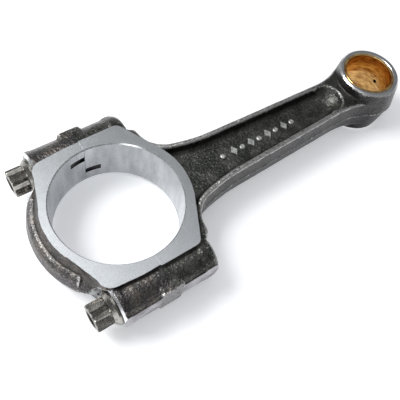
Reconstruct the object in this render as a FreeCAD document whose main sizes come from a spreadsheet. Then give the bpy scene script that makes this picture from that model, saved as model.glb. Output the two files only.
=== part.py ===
"""Connecting rod of an engine, with its cap, cap screws, dowels and small-end bush.

Frame: millimetres. The origin is the centre of the big-end bore at half its width, +X runs to the
small end, +Z runs along both bores, and +Y is the side of the upper cap screw.
"""
import FreeCAD, Part
import math
import os
import re

import Sketcher

DIMENSIONS = {
    # the two ends
    "centre_distance": 155.83,
    "big_bore_radius": 29.5275,
    "big_half_width": 12.6,
    "pin_bore_radius": 12.573,
    "eye_bore_radius": 13.9,
    "small_half_width": 14.65,
    "bore_chamfer": 0.5,
    "face_chamfer": 0.35,
    # eye of the small end: a double cone that swells towards the end of the rod
    "eye_face_radius": 16.6,
    "eye_face_shift": 0.5,
    "eye_middle_radius": 18.5,
    "eye_middle_shift": 2.0,
    "eye_collar_chamfer": 0.9,
    "oil_hole_radius": 1.1,
    "oil_hole_height": 1.0,
    # beam
    "beam_half_height": 9.0,
    "beam_inset": 0.8,
    "beam_start": 8.0,
    "shoulder_top_x": 24.5,
    "shoulder_top_y": 33.5,
    "flare_x": 28.0,
    "flare_y": 30.0,
    "flare_knee_x": 38.0,
    "flare_knee_y": 17.2,
    "waist_x": 60.0,
    "waist_y": 13.7,
    "neck_x": 127.0,
    "neck_y": 11.4,
    "eye_join_x": 149.0,
    "eye_join_y": 16.2,
    "shoulder_round": 3.5,
    "knee_radius": 13.8,
    "waist_radius": 90.0,
    "neck_radius": 45.0,
    "flange_edge_round": 0.8,
    # pocket between the flanges
    "web_half": 3.2,
    "pocket_inset": 0.9,
    "pocket_start": 22.0,
    "pocket_flare_x": 26.0,
    "pocket_flare_y": 23.5,
    "pocket_knee_x": 37.1,
    "pocket_knee_y": 14.1,
    "pocket_waist_x": 60.0,
    "pocket_waist_y": 10.5,
    "pocket_neck_x": 122.0,
    "pocket_neck_y": 8.4,
    "pocket_end_x": 130.4,
    "pocket_knee_radius": 18.0,
    "pocket_waist_radius": 94.0,
    "pocket_end_radius": 8.41,
    "pocket_floor_round": 2.6,
    "scoop_radius": 9.0,
    "scoop_x": 127.5,
    # big end, rod half
    "ring_radius": 34.0,
    "ring_draft": 4.0,
    "ring_tangent": 27.5,
    "shoulder_x": 21.3,
    "shoulder_y": 32.9,
    "side_x": 18.0,
    "side_y": 35.2,
    # cap
    "cap_radius": 33.1,
    "cap_tangent": 20.0,
    "cap_corner_x": 25.3,
    "cap_corner_y": 27.4,
    "cap_shoulder_x": 20.0,
    "cap_shoulder_y": 33.7,
    "cap_side_x": 8.0,
    "cap_side_y": 34.7,
    "corner_round": 4.0,
    "cap_corner_round": 6.0,
    "groove_radius": 34.7,
    "groove_height": 9.7,
    "rib_top_radius": 36.9,
    "rib_top_height": 7.9,
    "rib_edge_radius": 38.7,
    "rib_edge_height": 5.4,
    "flash_radius": 39.8,
    "rib_fade": 0.9,
    "rib_half_angle": 36.0,
    "strap_inner_radius": 31.0,
    # bolt bosses
    "bolt_y": 36.5,
    "boss_radius": 10.3,
    "boss_length": 25.0,
    "boss_end_round": 4.0,
    "collar_start": 18.0,
    "collar_radius": 10.8,
    "trim_y": 45.75,
    "seat_x": 23.2,
    "seat_collar_x": 20.0,
    "seat_collar_radius": 10.6,
    "head_relief_radius": 9.9,
    # identification pads across the joint
    "pad_inner_y": 33.0,
    "pad_top_x": 5.0,
    "pad_base_x": 7.6,
    "pad_half_height": 8.4,
    "pad_inner_height": 10.4,
    # cap screws
    "thread_radius": 5.55,
    "thread_start": 1.0,
    "shank_radius": 4.9,
    "screw_tip": 21.3,
    "tip_chamfer": 1.0,
    "flange_radius": 8.3,
    "flange_rim": 1.1,
    "flange_cone": 3.0,
    "head_across": 11.1,
    "head_end": 33.8,
    "head_top_radius": 6.45,
    "head_chamfer": 0.9,
    "dimple_radius": 4.0,
    "dimple_depth": 1.4,
    "rod_thread_bore": 5.6,
    "cap_bolt_bore": 5.8,
    "joint_stock": 1.0,
    # hollow dowels
    "dowel_outer": 6.75,
    "dowel_inner": 5.9,
    "dowel_reach": 4.6,
    "dowel_gap": 0.4,
    "dowel_slide_bore": 6.78,
    "dowel_chamfer": 0.3,
    # bearing tang notches, on the upper side of the bore
    "notch_depth": 1.2,
    "notch_length": 7.7,
    "notch_width": 3.4,
    "cap_notch_height": 5.6,
    "rod_notch_height": -4.7,
    # larger than the forging in every direction, for cuts that run right through
    "half_stock": 60.0,
}

doc = FreeCAD.newDocument("ConnectingRod")


def make_sheet():
    """Write the driving dimensions into a spreadsheet, one alias a row."""
    table = doc.addObject("Spreadsheet::Sheet", "Dimensions")
    for row, (alias, value) in enumerate(DIMENSIONS.items(), start=1):
        table.set(f"A{row}", alias)
        table.set(f"B{row}", str(value))
        table.setAlias(f"B{row}", alias)
    doc.recompute()
    return table


sheet = make_sheet()


def expression(text):
    """Write an expression on the sheet: every alias in the text gets the sheet's name."""
    def name(match):
        """Name one word's cell."""
        return f"Dimensions.{match[0]}" if match[0] in DIMENSIONS else match[0]
    return re.sub("[a-z_]+", name, text)


def value_of(text):
    """Give the number that an expression on the sheet stands for."""
    result = sheet.evalExpression(expression(text))
    return float(getattr(result, "Value", result))


def negated(text):
    """Give the expression with its sign turned."""
    return "0" if text == "0" else f"-1 * ( {text} )"


def bind(target, prop, text):
    """Tie a property to an expression on the sheet."""
    target.setExpression(prop, expression(text))


def new_body(label):
    """Start a sub-part."""
    body = doc.addObject("PartDesign::Body", label)
    body.Label = label
    return body


def origin_plane(body, role):
    """Find one of the sub-part's own origin planes."""
    return next(item for item in body.Origin.OriginFeatures if item.Role == role)


def new_sketch(body, name, role="XY_Plane", height=None, along=None, across=None):
    """Attach a sketch to an origin plane, moved up from it, along or across it if asked."""
    sketch = body.newObject("Sketcher::SketchObject", name)
    sketch.AttachmentSupport = [(origin_plane(body, role), "")]
    sketch.MapMode = "FlatFace"
    if height is not None:
        bind(sketch, "AttachmentOffset.Base.z", height)
    if along is not None:
        bind(sketch, "AttachmentOffset.Base.x", along)
    if across is not None:
        bind(sketch, "AttachmentOffset.Base.y", across)
    return sketch


def pin_point(sketch, geo, end, point):
    """Hold a sketch point at two expressions, measured from the sketch's origin."""
    for kind, axis, text in (("DistanceX", -2, point[0]), ("DistanceY", -1, point[1])):
        value = value_of(text)
        if abs(value) < 1e-9:
            sketch.addConstraint(Sketcher.Constraint("PointOnObject", geo, end, axis))
            continue
        index = sketch.addConstraint(Sketcher.Constraint(kind, -1, 1, geo, end, value))
        sketch.setExpression(f"Constraints[{index}]", expression(text))


def arc_between(start, end, radius, turn):
    """Make the shorter arc between two points; turn 1 runs anticlockwise, -1 clockwise."""
    chord = end - start
    half = chord.Length / 2
    rise = math.sqrt(radius ** 2 - half ** 2)
    normal = FreeCAD.Vector(-chord.y, chord.x, 0).normalize()
    centre = (start + end) / 2 + normal * rise * turn
    first, last = (start, end) if turn > 0 else (end, start)
    angle_1 = math.atan2(first.y - centre.y, first.x - centre.x)
    angle_2 = math.atan2(last.y - centre.y, last.x - centre.x)
    circle = Part.Circle(centre, FreeCAD.Vector(0, 0, 1), radius)
    return Part.ArcOfCircle(circle, angle_1, angle_2)


def draw_outline(sketch, start, steps):
    """Draw a closed outline of lines and arcs through points given as expressions.

    A step is (point,) for a line, or (point, radius, turn) for an arc.
    """
    here = FreeCAD.Vector(value_of(start[0]), value_of(start[1]), 0)
    ends = []
    for step in steps:
        there = FreeCAD.Vector(value_of(step[0][0]), value_of(step[0][1]), 0)
        if len(step) == 1:
            geo = sketch.addGeometry(Part.LineSegment(here, there), False)
            ends.append((geo, 1, 2))
        else:
            arc = arc_between(here, there, value_of(step[1]), step[2])
            geo = sketch.addGeometry(arc, False)
            ends.append((geo, 1, 2) if step[2] > 0 else (geo, 2, 1))
        here = there
    for (geo, _, tail), (after, head, _) in zip(ends, ends[1:] + ends[:1]):
        sketch.addConstraint(Sketcher.Constraint("Coincident", geo, tail, after, head))
    for step, (geo, _, tail) in zip(steps, ends):
        pin_point(sketch, geo, tail, step[0])
        if len(step) > 1:
            index = sketch.addConstraint(Sketcher.Constraint("Radius", geo, value_of(step[1])))
            sketch.setExpression(f"Constraints[{index}]", expression(step[1]))


def mirrored(start, steps):
    """Continue a half outline, which runs from start to the X axis, with its mirror image."""
    points = [start] + [step[0] for step in steps]
    back = []
    for number in range(len(steps) - 1, -1, -1):
        point = (points[number][0], negated(points[number][1]))
        back.append((point,) + steps[number][1:])
    return steps + back


def draw_circle(sketch, centre, radius):
    """Draw a circle about a point given as expressions."""
    middle = FreeCAD.Vector(value_of(centre[0]), value_of(centre[1]), 0)
    circle = Part.Circle(middle, FreeCAD.Vector(0, 0, 1), value_of(radius))
    geo = sketch.addGeometry(circle, False)
    pin_point(sketch, geo, 3, centre)
    index = sketch.addConstraint(Sketcher.Constraint("Radius", geo, value_of(radius)))
    sketch.setExpression(f"Constraints[{index}]", expression(radius))


def extrude(body, kind, sketch, length, other=None, draft=None, reverse=False):
    """Pad or pocket a sketch: one way to a length, or both ways if another length is given."""
    feature = body.newObject(f"PartDesign::{kind}", f"{sketch.Name}_{kind.lower()}")
    feature.Profile = sketch
    feature.Reversed = reverse
    bind(feature, "Length", length)
    if other is not None:
        feature.SideType = "Two sides"
        bind(feature, "Length2", other)
    if draft is not None:
        bind(feature, "TaperAngle", draft)
        if other is not None:
            bind(feature, "TaperAngle2", draft)
    sketch.Visibility = False
    doc.recompute()
    return feature


def turn(body, kind, sketch, axis, angle=360, reverse=False):
    """Turn a sketch about an axis of its plane: Revolution adds, Groove cuts."""
    feature = body.newObject(f"PartDesign::{kind}", f"{sketch.Name}_{kind.lower()}")
    feature.Profile = sketch
    feature.ReferenceAxis = (sketch, [axis])
    feature.Angle = angle
    feature.Reversed = reverse
    doc.recompute()
    return feature


def edges_where(feature, test):
    """List the names of a feature's edges that pass a test."""
    edges = feature.Shape.Edges
    return [f"Edge{number}" for number, edge in enumerate(edges, start=1) if test(edge)]


def dress(body, kind, base, names, size):
    """Fillet or chamfer named edges."""
    feature = body.newObject(f"PartDesign::{kind}", f"{kind.lower()}_{base.Name}")
    feature.Base = (base, names)
    bind(feature, "Radius" if kind == "Fillet" else "Size", size)
    doc.recompute()
    return feature


def loft(body, kind, name, sketches):
    """Loft straight walls through sketches: AdditiveLoft adds, SubtractiveLoft cuts."""
    feature = body.newObject(f"PartDesign::{kind}", name)
    feature.Profile = sketches[0]
    feature.Sections = sketches[1:]
    feature.Ruled = True
    doc.recompute()
    return feature


def beam_section(body, name, height, inset):
    """Draw the beam's outline at a height, its two sides moved in by the draft."""
    sketch = new_sketch(body, name, height=height)
    start = ("beam_start", "0")
    draw_outline(sketch, start, mirrored(start, [
        (("beam_start", f"shoulder_top_y - {inset}"),),
        (("shoulder_top_x", f"shoulder_top_y - {inset}"),),
        (("flare_x", f"flare_y - {inset}"), "shoulder_round", -1),
        (("flare_knee_x", f"flare_knee_y - {inset}"), "knee_radius", 1),
        (("waist_x", f"waist_y - {inset}"), "waist_radius", 1),
        (("neck_x", f"neck_y - {inset}"),),
        (("eye_join_x", f"eye_join_y - {inset}"), "neck_radius", 1),
        (("eye_join_x", "0"),),
    ]))
    return sketch


def pocket_section(body, name, height, inset):
    """Draw the outline of the pocket between the flanges at a height."""
    sketch = new_sketch(body, name, height=height)
    start = ("pocket_start", "0")
    draw_outline(sketch, start, mirrored(start, [
        (("pocket_start", f"pocket_flare_y - {inset}"),),
        (("pocket_flare_x", f"pocket_flare_y - {inset}"),),
        (("pocket_knee_x", f"pocket_knee_y - {inset}"), "pocket_knee_radius", 1),
        (("pocket_waist_x", f"pocket_waist_y - {inset}"), "pocket_waist_radius", 1),
        (("pocket_neck_x", f"pocket_neck_y - {inset}"),),
        ((f"pocket_end_x - {inset}", "0"), f"pocket_end_radius - {inset}", -1),
    ]))
    return sketch


def lies_at(edge, height):
    """Tell whether an edge lies flat at a height above or below the middle."""
    return all(abs(abs(vertex.Z) - height) < 1e-4 for vertex in edge.Vertexes)


def on_pocket_floor(edge):
    """Tell whether an edge is where a pocket's walls meet the web."""
    box = edge.BoundBox
    long_wall = box.XMax > value_of("pocket_flare_x") + 1 and box.YMax * box.YMin > 0
    return lies_at(edge, value_of("web_half")) and long_wall and box.XMax < value_of("scoop_x")


def on_flange_top(edge):
    """Tell whether an edge bounds the flat top of a flange."""
    box = edge.BoundBox
    return lies_at(edge, value_of("beam_half_height")) and box.XMin > value_of("flare_x") - 0.1


def make_beam(body):
    """Make the I-beam: drafted flanges, a pocket on each face, and the scoop at its small end."""
    loft(body, "AdditiveLoft", "beam", [
        beam_section(body, "beam_bottom", "-1 * beam_half_height", "beam_inset"),
        beam_section(body, "beam_middle", "0", "0"),
        beam_section(body, "beam_top", "beam_half_height", "beam_inset"),
    ])
    for side, sign in (("upper", "1"), ("lower", "-1")):
        loft(body, "SubtractiveLoft", f"{side}_pocket", [
            pocket_section(body, f"{side}_pocket_mouth", f"{sign} * beam_half_height", "0"),
            pocket_section(body, f"{side}_pocket_floor", f"{sign} * web_half", "pocket_inset"),
        ])
        scoop = new_sketch(body, f"{side}_scoop", "XZ_Plane", along="scoop_x")
        low = ("0", f"{sign} * web_half")
        high = ("0", f"{sign} * ( web_half + 2 * scoop_radius )")
        draw_outline(scoop, low, [(high, "scoop_radius * 1.0001", int(sign)), (low,)])
        turn(body, "Groove", scoop, "V_Axis")
    beam = body.Tip
    floors = edges_where(beam, on_pocket_floor)
    rounded = dress(body, "Fillet", beam, floors, "pocket_floor_round")
    return dress(body, "Fillet", rounded, edges_where(rounded, on_flange_top), "flange_edge_round")


def make_eye(body):
    """Make the small end's eye, a double cone with a machined collar on each face."""
    sections = []
    for name, height, shift, radius in (
        ("eye_bottom", "-1 * small_half_width", "eye_face_shift", "eye_face_radius"),
        ("eye_middle", "0", "eye_middle_shift", "eye_middle_radius"),
        ("eye_top", "small_half_width", "eye_face_shift", "eye_face_radius"),
    ):
        sketch = new_sketch(body, name, height=height)
        draw_circle(sketch, (f"centre_distance + {shift}", "0"), radius)
        sections.append(sketch)
    eye = loft(body, "AdditiveLoft", "eye", sections)
    rims = edges_where(eye, lambda edge: lies_at(edge, value_of("small_half_width")))
    return dress(body, "Chamfer", eye, rims, "eye_collar_chamfer")


def make_rod_ring(body):
    """Make the rod's half of the big end, between the beam and the joint."""
    for side, sign in (("upper", "1"), ("lower", "-1")):
        ring = new_sketch(body, f"{side}_ring", height=f"{sign} * big_half_width")
        start = ("-1 * joint_stock", "0")
        draw_outline(ring, start, mirrored(start, [
            (("-1 * joint_stock", "side_y"),),
            (("side_x", "side_y"),),
            (("shoulder_x", "shoulder_y"), "corner_round", -1),
            (("ring_radius * cos(ring_tangent)", "ring_radius * sin(ring_tangent)"),),
            (("ring_radius", "0"), "ring_radius", -1),
        ]))
        extrude(body, "Pad", ring, "big_half_width", draft="ring_draft", reverse=(side == "upper"))
    return body.Tip


def make_rod_bosses(body):
    """Turn the rod's two bolt bosses, each with a collar at its rounded end."""
    for side, sign in (("upper", "1"), ("lower", "-1")):
        boss = new_sketch(body, f"{side}_boss", across=f"{sign} * bolt_y")
        start = ("0", "0")
        draw_outline(boss, start, [
            (("0", "boss_radius"),),
            (("collar_start - 0.5", "boss_radius"),),
            (("collar_start", "collar_radius"),),
            (("boss_length - boss_end_round", "collar_radius"),),
            (("boss_length", "collar_radius - boss_end_round"), "boss_end_round", -1),
            (("boss_length", "0"),),
            (start,),
        ])
        turn(body, "Revolution", boss, "H_Axis")
    return body.Tip


def make_cap_bosses(body):
    """Turn the cap's two bolt bosses, each with a collar under its seat."""
    for side, sign in (("upper", "1"), ("lower", "-1")):
        boss = new_sketch(body, f"{side}_boss", across=f"{sign} * bolt_y")
        start = ("0", "0")
        draw_outline(boss, start, [
            (("0", "boss_radius"),),
            (("-1 * seat_collar_x + 0.4", "boss_radius"),),
            (("-1 * seat_collar_x", "seat_collar_radius"),),
            (("-1 * seat_x", "seat_collar_radius"),),
            (("-1 * seat_x", "0"),),
            (start,),
        ])
        turn(body, "Revolution", boss, "H_Axis")
    return body.Tip


def make_pads(body, way):
    """Make the identification pads that stand out of the bosses beside the joint."""
    for side, sign in (("upper", "1"), ("lower", "-1")):
        corners = (("pad_inner_y", "pad_inner_height"), ("trim_y", "pad_half_height"),
                   ("trim_y", "-1 * pad_half_height"), ("pad_inner_y", "-1 * pad_inner_height"))
        points = [(f"{sign} * {across}", up) for across, up in corners]
        steps = [(point,) for point in points[1:] + points[:1]]
        block = new_sketch(body, f"{side}_pad", "YZ_Plane")
        draw_outline(block, points[0], steps)
        extrude(body, "Pad", block, "pad_top_x", reverse=(way < 0))
        slope = new_sketch(body, f"{side}_pad_slope", "YZ_Plane", height=f"{way} * pad_top_x")
        draw_outline(slope, points[0], steps)
        extrude(body, "Pad", slope, "pad_base_x - pad_top_x", draft="-45", reverse=(way < 0))
    return body.Tip


def draw_box(sketch, low, high):
    """Draw a rectangle between two corners given as expressions."""
    draw_outline(sketch, low, [((high[0], low[1]),), (high,), ((low[0], high[1]),), (low,)])


def cut_box(body, name, low, high, half_depth="half_stock", height="0"):
    """Cut away a rectangle of the middle plane, to a depth above and below a height."""
    sketch = new_sketch(body, name, height=height)
    draw_box(sketch, low, high)
    return extrude(body, "Pocket", sketch, half_depth, half_depth)


def cut_round(body, name, role, centre, radius, depth, other=None, height=None, reverse=False):
    """Cut a round hole."""
    sketch = new_sketch(body, name, role, height=height)
    draw_circle(sketch, centre, radius)
    return extrude(body, "Pocket", sketch, depth, other, reverse=reverse)


def on_rim(radius, height, centre="0"):
    """Make the test for a bore's rim: round, of a radius, about an axis, at a height."""
    size, level, middle = value_of(radius), value_of(height), value_of(centre)

    def test(edge):
        """Tell whether an edge is on the rim."""
        curve = edge.Curve
        if curve.TypeId != "Part::GeomCircle" or not lies_at(edge, level):
            return False
        return abs(curve.Radius - size) < 1e-4 and abs(curve.Center.x - middle) < 1e-4
    return test


def trim_flash(body):
    """Cut the flat faces that trimming the forging's flash leaves on the outside of the bosses."""
    for side, sign in (("upper", "1"), ("lower", "-1")):
        low = ("-1 * half_stock", f"{sign} * trim_y")
        high = ("half_stock", f"{sign} * half_stock")
        cut_box(body, f"{side}_flash", low, high)
    return body.Tip


def cut_notch(body, way, height):
    """Cut the slot for a bearing shell's tang, deepest at the joint."""
    sketch = new_sketch(body, "tang_notch", height=height)
    inside = "big_bore_radius - 2 * notch_depth"
    points = [("0", inside), ("0", "big_bore_radius + notch_depth"),
              (f"{way} * notch_length", "big_bore_radius - 0.6 * notch_depth"),
              (f"{way} * notch_length", inside)]
    draw_outline(sketch, points[0], [(point,) for point in points[1:] + points[:1]])
    return extrude(body, "Pocket", sketch, "notch_width / 2", "notch_width / 2")


def bore_big_end(body):
    """Bore the big end and break the edges of the bore."""
    bored = cut_round(body, "big_bore", "XY_Plane", ("0", "0"), "big_bore_radius",
                      "half_stock", "half_stock")
    rims = edges_where(bored, on_rim("big_bore_radius", "big_half_width"))
    return dress(body, "Chamfer", bored, rims, "bore_chamfer")


def make_rod():
    """Make the forged rod, machine it and drill it."""
    body = new_body("rod_body")
    make_beam(body)
    make_eye(body)
    make_rod_ring(body)
    make_rod_bosses(body)
    make_pads(body, 1)
    cut_box(body, "joint_face", ("0", "-1 * half_stock"), ("-1 * half_stock", "half_stock"))
    trim_flash(body)
    bore_big_end(body)
    centre = ("centre_distance", "0")
    bored = cut_round(body, "eye_bore", "XY_Plane", centre, "eye_bore_radius",
                      "half_stock", "half_stock")
    rims = edges_where(bored, on_rim("eye_bore_radius", "small_half_width", "centre_distance"))
    dress(body, "Chamfer", bored, rims, "face_chamfer")
    cut_round(body, "oil_hole", "YZ_Plane", ("0", "oil_hole_height"), "oil_hole_radius",
              "half_stock", height="centre_distance", reverse=True)
    for side, sign in (("upper", "1"), ("lower", "-1")):
        at = (f"{sign} * bolt_y", "0")
        cut_round(body, f"{side}_thread", "YZ_Plane", at, "rod_thread_bore", "half_stock",
                  reverse=True)
        cut_round(body, f"{side}_dowel_seat", "YZ_Plane", at, "dowel_outer",
                  "dowel_reach + dowel_gap", reverse=True)
    cut_notch(body, 1, "rod_notch_height")
    return body


def make_strap(body):
    """Turn the cap's strap about the bore, with its raised rib round the middle."""
    strap = new_sketch(body, "strap_profile", "XZ_Plane")
    half = [
        (("cap_radius", "big_half_width"),),
        (("groove_radius", "groove_height"),),
        (("rib_top_radius - rib_fade", "rib_top_height - rib_fade"),),
        (("rib_edge_radius - rib_fade", "rib_edge_height - rib_fade"),),
        (("flash_radius", "0"),),
    ]
    start = ("strap_inner_radius", "0")
    outline = [(("strap_inner_radius", "big_half_width"),)] + half
    mirror_half = mirrored(start, outline)
    draw_outline(strap, start, mirror_half)
    turn(body, "Revolution", strap, "V_Axis")
    rib = new_sketch(body, "rib_profile", "XZ_Plane")
    start = ("-1 * strap_inner_radius", "0")
    draw_outline(rib, start, mirrored(start, [
        (("-1 * strap_inner_radius", "rib_top_height"),),
        (("-1 * rib_top_radius", "rib_top_height"),),
        (("-1 * rib_edge_radius", "rib_edge_height"),),
        (("-1 * flash_radius", "0"),),
    ]))
    ridge = turn(body, "Revolution", rib, "V_Axis")
    ridge.Midplane = True
    bind(ridge, "Angle", "2 * rib_half_angle")
    return ridge


def make_cap_ring(body):
    """Make the cap's machined ring with its two shoulders."""
    for side, sign in (("upper", "1"), ("lower", "-1")):
        ring = new_sketch(body, f"{side}_ring", height=f"{sign} * big_half_width")
        start = ("joint_stock", "0")
        tangent_x = "-1 * cap_radius * cos(cap_tangent)"
        draw_outline(ring, start, mirrored(start, [
            (("joint_stock", "cap_side_y"),),
            (("-1 * cap_side_x", "cap_side_y"),),
            (("-1 * cap_shoulder_x", "cap_shoulder_y"),),
            (("-1 * cap_corner_x", "cap_corner_y"), "cap_corner_round", 1),
            ((tangent_x, "cap_radius * sin(cap_tangent)"),),
            (("-1 * cap_radius", "0"), "cap_radius", 1),
        ]))
        extrude(body, "Pad", ring, "big_half_width", draft="ring_draft", reverse=(side == "upper"))
    return body.Tip


def make_cap():
    """Make the forged cap, machine it and drill it."""
    body = new_body("rod_cap")
    make_strap(body)
    make_cap_ring(body)
    make_cap_bosses(body)
    make_pads(body, -1)
    cut_box(body, "joint_face", ("0", "-1 * half_stock"), ("half_stock", "half_stock"))
    trim_flash(body)
    bore_big_end(body)
    for side, sign in (("upper", "1"), ("lower", "-1")):
        at = (f"{sign} * bolt_y", "0")
        cut_round(body, f"{side}_relief", "YZ_Plane", at, "head_relief_radius", "half_stock",
                  height="-1 * seat_x")
        cut_round(body, f"{side}_bolt_hole", "YZ_Plane", at, "cap_bolt_bore", "half_stock")
        cut_round(body, f"{side}_dowel_seat", "YZ_Plane", at, "dowel_slide_bore",
                  "dowel_reach + dowel_gap")
    cut_notch(body, -1, "cap_notch_height")
    return body


def make_bushing():
    """Turn the bronze bush of the small end, with bevelled mouths and an oil hole."""
    body = new_body("pin_bushing")
    tube = new_sketch(body, "bush_profile", "XZ_Plane", along="centre_distance")
    start = ("pin_bore_radius", "0")
    draw_outline(tube, start, mirrored(start, [
        (("pin_bore_radius", "small_half_width - bore_chamfer"),),
        (("pin_bore_radius + bore_chamfer", "small_half_width"),),
        (("eye_bore_radius - 0.1", "small_half_width"),),
        (("eye_bore_radius", "small_half_width - 0.1"),),
        (("eye_bore_radius", "0"),),
    ]))
    turn(body, "Revolution", tube, "V_Axis")
    cut_round(body, "oil_hole", "YZ_Plane", ("0", "oil_hole_height"), "oil_hole_radius",
              "half_stock", height="centre_distance", reverse=True)
    return body


def make_screw(label, sign):
    """Turn one cap screw and cut its twelve-point head; sign gives its side of the rod."""
    body = new_body(label)
    core = new_sketch(body, "screw_profile")
    start = ("-1 * head_end + head_chamfer", "0")
    draw_outline(core, start, [
        (("-1 * head_end + head_chamfer", "shank_radius"),),
        (("-1 * seat_x - flange_cone", "head_across / 2"),),
        (("-1 * seat_x - flange_rim", "flange_radius"),),
        (("-1 * seat_x", "flange_radius"),),
        (("-1 * seat_x", "shank_radius"),),
        (("thread_start - 0.6", "shank_radius"),),
        (("thread_start", "thread_radius"),),
        (("screw_tip - tip_chamfer", "thread_radius"),),
        (("screw_tip", "thread_radius - tip_chamfer"),),
        (("screw_tip", "0"),),
        (start,),
    ])
    turn(body, "Revolution", core, "H_Axis")
    for number, angle in enumerate((0, 30)):
        hexagon = new_sketch(body, f"head_hexagon_{number}", "YZ_Plane", height="-1 * head_end")
        corner = [f"head_across / sqrt(3) * {trig}({{}})" for trig in ("cos", "sin")]
        points = [tuple(text.format(angle + 60 * turn_no) for text in corner)
                  for turn_no in range(6)]
        draw_outline(hexagon, points[0], [(point,) for point in points[1:] + points[:1]])
        extrude(body, "Pad", hexagon, "head_end - seat_x - 0.5 * flange_cone")
    bevel = new_sketch(body, "head_bevel")
    low = ("-1 * head_end", "head_top_radius - head_chamfer")
    draw_outline(bevel, low, [
        (("-1 * head_end", "2 * head_top_radius"),),
        (("-1 * head_end + head_chamfer", "2 * head_top_radius"),),
        (("-1 * head_end + head_chamfer", "head_top_radius"),),
        (low,),
    ])
    turn(body, "Groove", bevel, "H_Axis")
    dimple = new_sketch(body, "head_dimple")
    start = ("-1 * head_end", "0")
    draw_outline(dimple, start, [
        (("-1 * head_end", "dimple_radius"),),
        (("-1 * head_end + dimple_depth", "dimple_radius - 0.5 * dimple_depth"),),
        (("-1 * head_end + dimple_depth", "0"),),
        (start,),
    ])
    turn(body, "Groove", dimple, "H_Axis")
    bind(body, "Placement.Base.y", f"{sign} * bolt_y")
    return body


def make_dowel(label, sign):
    """Turn one hollow dowel; sign gives its side of the rod."""
    body = new_body(label)
    tube = new_sketch(body, "dowel_profile")
    outer, inner, bevel = "dowel_outer", "dowel_inner", "dowel_chamfer"
    start = ("-1 * dowel_reach", inner)
    draw_outline(tube, start, [
        (("-1 * dowel_reach", f"{outer} - {bevel}"),),
        ((f"-1 * dowel_reach + {bevel}", outer),),
        ((f"dowel_reach - {bevel}", outer),),
        (("dowel_reach", f"{outer} - {bevel}"),),
        (("dowel_reach", inner),),
        (start,),
    ])
    turn(body, "Revolution", tube, "H_Axis")
    bind(body, "Placement.Base.y", f"{sign} * bolt_y")
    return body


def check_document():
    """Stop if any object failed, or any sub-part's shape is missing or broken."""
    for item in doc.Objects:
        if "Invalid" in item.State or "Error" in item.State:
            raise RuntimeError(f"{item.Name} failed: {item.getStatusString()}")
    for body in doc.findObjects("PartDesign::Body"):
        if body.Shape.isNull() or not body.Shape.isValid() or len(body.Shape.Solids) != 1:
            raise RuntimeError(f"{body.Label} isn't one sound solid")


def main():
    """Build every sub-part, check them and write each to its own file."""
    make_rod()
    make_cap()
    make_bushing()
    for side, sign in (("upper", "1"), ("lower", "-1")):
        make_screw(f"cap_bolt_{side}", sign)
        make_dowel(f"dowel_{side}", sign)
    doc.recompute()
    check_document()
    os.makedirs("parts", exist_ok=True)
    for body in doc.findObjects("PartDesign::Body"):
        body.Shape.exportStep(f"parts/{body.Label}.step")
        print(f"{body.Label}: {body.Shape.Volume:.0f} mm3")


main()
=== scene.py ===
"""Looks of a forged connecting rod: skin, machining, screws, bush and the studio round it."""
import logging
import math
from collections.abc import Callable, Sequence
from dataclasses import dataclass, field
from enum import Enum, IntEnum

import bmesh
import bpy
import numpy as np
from mathutils import Matrix, Vector, noise


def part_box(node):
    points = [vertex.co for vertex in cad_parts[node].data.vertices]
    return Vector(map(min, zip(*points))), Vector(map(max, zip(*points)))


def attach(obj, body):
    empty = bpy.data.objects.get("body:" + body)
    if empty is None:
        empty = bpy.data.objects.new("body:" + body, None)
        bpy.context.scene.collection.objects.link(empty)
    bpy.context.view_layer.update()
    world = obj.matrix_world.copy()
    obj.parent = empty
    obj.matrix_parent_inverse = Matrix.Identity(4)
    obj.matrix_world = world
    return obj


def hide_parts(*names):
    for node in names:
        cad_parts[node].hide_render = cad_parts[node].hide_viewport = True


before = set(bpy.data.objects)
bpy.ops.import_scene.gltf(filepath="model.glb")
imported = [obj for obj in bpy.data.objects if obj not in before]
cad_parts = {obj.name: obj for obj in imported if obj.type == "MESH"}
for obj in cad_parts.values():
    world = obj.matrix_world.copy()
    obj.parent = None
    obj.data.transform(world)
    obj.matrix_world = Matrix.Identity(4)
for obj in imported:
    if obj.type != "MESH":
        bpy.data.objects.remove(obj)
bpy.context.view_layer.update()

MM = 0.001
LOG = logging.getLogger("connecting_rod")
EYE_X = 155.83 * MM
BOLT_Y = 36.5 * MM
BIG_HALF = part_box("rod_cap")[1].z
SMALL_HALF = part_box("pin_bushing")[1].z
TRIM_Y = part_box("rod_cap")[1].y
BIG_BORE = 29.5275 * MM
# how far a boring tool runs past a face
OVERRUN = 4 * MM
Point = tuple[float, float]


class Surface(IntEnum):
    """Material slot of each kind of surface on the two forgings."""

    SKIN = 0
    FACE = 1
    BORE = 2
    TRIM = 3
    # broken edges and chamfers, brighter than the faces: partly polish, partly painted highlight
    BRIGHT = 4
    PEEN = 5
    # near-black painted shade in the tang notches, the oil hole and the joint's groove
    RECESS_SHADE = 6
    MARK = 7


class Axis(Enum):
    """Direction in which a turned shape's axis runs."""

    X = "X"
    Z = "Z"

    @property
    def vector(self) -> Vector:
        """Unit vector of the axis."""
        return Vector((1, 0, 0)) if self is Axis.X else Vector((0, 0, 1))


class Operation(Enum):
    """What a tool shape does to the work piece."""

    CUT = "DIFFERENCE"
    ADD = "UNION"


# ---------------------------------------------------------------------------------------------
# Mesh tools
# ---------------------------------------------------------------------------------------------

def object_from(name: str, bm: bmesh.types.BMesh) -> bpy.types.Object:
    """Turn a bmesh into a linked object.

    Args:
        name: Name of the object and its mesh.
        bm: The shape, which is freed.

    Returns:
        The new object, at the origin.
    """
    mesh = bpy.data.meshes.new(name)
    bm.to_mesh(mesh)
    bm.free()
    obj = bpy.data.objects.new(name, mesh)
    bpy.context.scene.collection.objects.link(obj)
    return obj


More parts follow.
